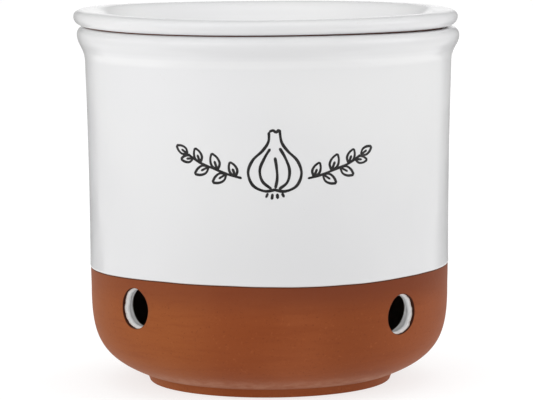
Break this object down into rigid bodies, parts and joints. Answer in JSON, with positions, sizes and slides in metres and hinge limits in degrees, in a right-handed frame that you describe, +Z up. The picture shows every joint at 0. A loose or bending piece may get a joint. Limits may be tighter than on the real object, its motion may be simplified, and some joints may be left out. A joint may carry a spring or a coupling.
{
  "type": "garlic keeper",
  "caption": "Round terracotta keeper with a flared rim, white glaze above a bare base, air vents low in its wall and a dish-shaped drop-in lid.",
  "frame": {"origin": "centre of the foot ring, on the surface that the pot stands on", "axes": "+Z up along the pot's axis, -Y towards the front, +X to the right as seen from the front"},
  "size_m": [0.1309, 0.1304, 0.1267],
  "materials": {
    "terracotta": "bare fired clay, fine grained and matt",
    "white_glaze": "white gloss glaze"
  },
  "bodies": {
    "pot": {"pot_clay": "terracotta", "pot_outer_glaze": "white_glaze", "pot_inner_glaze": "white_glaze", "vent_glaze": "white_glaze"},
    "lid": {"lid_clay": "terracotta", "lid_top_glaze": "white_glaze", "lid_under_glaze": "white_glaze"}
  },
  "joints": [
    {"name": "lid_lift", "type": "slide", "parent": "pot", "child": "lid", "axis": [0, 0, 1], "range_m": [0, 0.08]}
  ]
}
